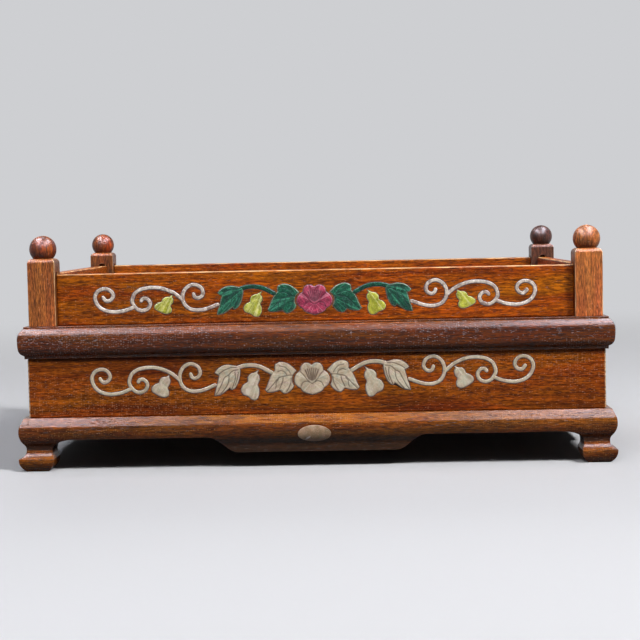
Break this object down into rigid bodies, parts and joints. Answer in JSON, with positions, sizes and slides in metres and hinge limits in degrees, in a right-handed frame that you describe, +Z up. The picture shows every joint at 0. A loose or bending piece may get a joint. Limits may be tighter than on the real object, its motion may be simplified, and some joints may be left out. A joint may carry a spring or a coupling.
{
  "type": "inlaid tray box",
  "caption": "Low hardwood box on moulded feet, closed by a lift-off tray with railed sides, corner posts and ball finials; leaf, gourd and flower scrolls inlaid in shell.",
  "frame": {"origin": "on the surface that the feet stand on, below the middle of the box", "axes": "+X to the right along the long side, +Y from the inlaid front to the back, +Z up"},
  "size_m": [0.361, 0.2471, 0.1427],
  "materials": {
    "wall_wood": "oiled and rubbed satin",
    "base_wood": "oiled and rubbed satin",
    "dark_wood": "oiled and rubbed satin",
    "post_wood": "oiled and rubbed satin",
    "floor_wood": "plain planed",
    "white_shell": "polished shell",
    "pale_shell": "polished shell",
    "leaf_shell": "dyed polished shell",
    "gourd_shell": "dyed polished shell",
    "flower_shell": "dyed polished shell"
  },
  "bodies": {
    "box": {"wall_front": "wall_wood", "base_front": "base_wood", "wall_right": "wall_wood", "base_right": "base_wood", "wall_back": "wall_wood", "base_back": "base_wood", "wall_left": "wall_wood", "base_left": "base_wood", "foot_front_right": "base_wood", "foot_back_right": "base_wood", "foot_back_left": "base_wood", "foot_front_left": "base_wood", "box_floor": "floor_wood", "lower_inlay_front": "pale_shell", "lower_inlay_right": "pale_shell", "lower_inlay_back": "pale_shell", "lower_inlay_left": "pale_shell", "oval_plaque": "pale_shell"},
    "tray": {"tray_frame_front": "dark_wood", "lip_strip_front": "dark_wood", "rail_front": "wall_wood", "tray_frame_right": "dark_wood", "lip_strip_right": "dark_wood", "rail_right": "wall_wood", "tray_frame_back": "dark_wood", "lip_strip_back": "dark_wood", "rail_back": "wall_wood", "tray_frame_left": "dark_wood", "lip_strip_left": "dark_wood", "rail_left": "wall_wood", "post_front_right": "post_wood", "finial_front_right": "post_wood", "post_back_right": "post_wood", "finial_back_right": "post_wood", "post_back_left": "post_wood", "finial_back_left": "post_wood", "post_front_left": "post_wood", "finial_front_left": "post_wood", "tray_panel": "floor_wood", "batten_left": "floor_wood", "batten_right": "floor_wood", "upper_scrolls_front": "white_shell", "upper_leaves_front": "leaf_shell", "upper_gourds_front": "gourd_shell", "upper_flower_front": "flower_shell", "upper_scrolls_right": "white_shell", "upper_leaves_right": "leaf_shell", "upper_gourds_right": "gourd_shell", "upper_flower_right": "flower_shell", "upper_scrolls_back": "white_shell", "upper_leaves_back": "leaf_shell", "upper_gourds_back": "gourd_shell", "upper_flower_back": "flower_shell", "upper_scrolls_left": "white_shell", "upper_leaves_left": "leaf_shell", "upper_gourds_left": "gourd_shell", "upper_flower_left": "flower_shell"}
  },
  "joints": [
    {"name": "tray_lift", "type": "slide", "parent": "box", "child": "tray", "axis": [0, 0, 1], "range_m": [0, 0.15]}
  ]
}
